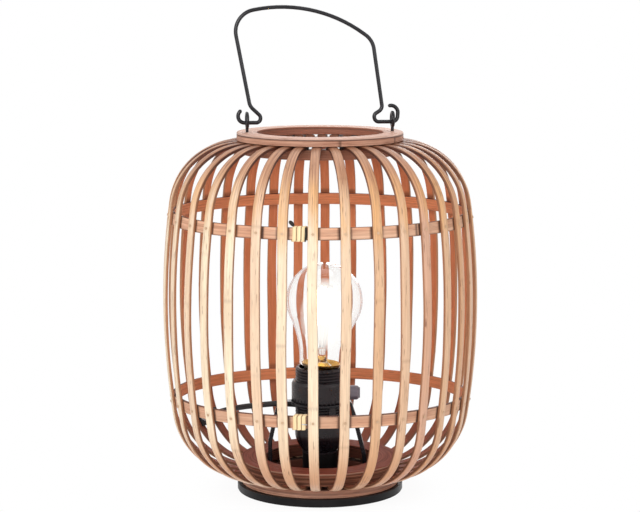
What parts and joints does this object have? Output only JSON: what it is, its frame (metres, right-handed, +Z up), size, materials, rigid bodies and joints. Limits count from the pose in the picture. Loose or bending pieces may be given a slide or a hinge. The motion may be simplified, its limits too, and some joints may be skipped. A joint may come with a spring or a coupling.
{
  "type": "lantern table lamp",
  "caption": "Round lantern table lamp: a cage of thin bent cane ribs on a black base, with a clear bulb in a switched holder and a swinging wire bail.",
  "frame": {"origin": "centre of the base's underside, on the surface that the lamp stands on", "axes": "+Z up, -Y toward the front, +X to the lamp's right as seen in the picture"},
  "size_m": [0.2499, 0.25, 0.3862],
  "materials": {
    "rib_cane": "split cane, satin, pale on the outside and reddish brown inside",
    "hoop_cane": "split cane strip, satin",
    "ring_wood": "stained laminated wood, satin",
    "dark_wood": "dark stained wood, satin",
    "binding_cane": "peeled pale yellow cane, semi-gloss",
    "nail_steel": "small dull nails",
    "pad_rubber": "black foam rubber",
    "base_paint": "black paint, semi-gloss",
    "ballast_iron": "bare iron",
    "black_wire": "black coated steel wire and strap",
    "bright_steel": "zinc plated steel",
    "holder_plastic": "black moulded plastic, satin",
    "knob_plastic": "grey moulded plastic",
    "brass": "bright brass",
    "lead_sheath": "black round cable sheath",
    "outlet_plastic": "black moulded plastic",
    "bulb_glass": "clear blown glass",
    "filament_glass": "glowing sticks and a clear glass stem"
  },
  "bodies": {
    "lamp": {"rib_01": "rib_cane", "rib_02": "rib_cane", "rib_03": "rib_cane", "rib_04": "rib_cane", "rib_05": "rib_cane", "rib_06": "rib_cane", "rib_07": "rib_cane", "rib_08": "rib_cane", "rib_09": "rib_cane", "rib_10": "rib_cane", "rib_11": "rib_cane", "rib_12": "rib_cane", "rib_13": "rib_cane", "rib_14": "rib_cane", "rib_15": "rib_cane", "rib_16": "rib_cane", "rib_17": "rib_cane", "rib_18": "rib_cane", "rib_19": "rib_cane", "rib_20": "rib_cane", "rib_21": "rib_cane", "rib_22": "rib_cane", "rib_23": "rib_cane", "rib_24": "rib_cane", "rib_25": "rib_cane", "rib_26": "rib_cane", "rib_27": "rib_cane", "rib_28": "rib_cane", "rib_29": "rib_cane", "rib_30": "rib_cane", "rib_31": "rib_cane", "rib_32": "rib_cane", "base_pad": "pad_rubber", "base_tray": "base_paint", "ballast_weight": "ballast_iron", "bottom_lower_ring": "ring_wood", "bottom_upper_ring": "ring_wood", "bottom_ring_cap": "ring_wood", "lower_hoop": "hoop_cane", "upper_hoop": "hoop_cane", "hoop_bindings": "binding_cane", "rib_nails": "nail_steel", "top_under_ring": "dark_wood", "top_rim_band": "ring_wood", "top_ring_cap": "ring_wood", "screw_eyes": "black_wire", "riser_tube": "base_paint", "riser_coupling": "bright_steel", "holder_cup": "holder_plastic", "holder_sleeve": "holder_plastic", "grip_collar": "holder_plastic", "screw_shell": "brass", "contact_leaf": "brass", "stay_bracket": "black_wire", "fixing_screws": "bright_steel", "lead": "lead_sheath", "cord_outlet": "outlet_plastic", "bulb_glass": "bulb_glass", "bulb_cap": "brass", "bulb_filament": "filament_glass"},
    "bail": {"bail_handle": "black_wire"},
    "knob": {"switch_knob": "knob_plastic"}
  },
  "joints": [
    {"name": "bail_swing", "type": "hinge", "parent": "lamp", "child": "bail", "pos_m": [0, 0, 0.2944], "axis": [0.9945, 0.1045, 0], "range_deg": [-96, 96]},
    {"name": "switch_turn", "type": "hinge", "parent": "lamp", "child": "knob", "pos_m": [0.023, 0, 0.0777], "axis": [1, 0, 0], "range_deg": [0, 90]}
  ]
}
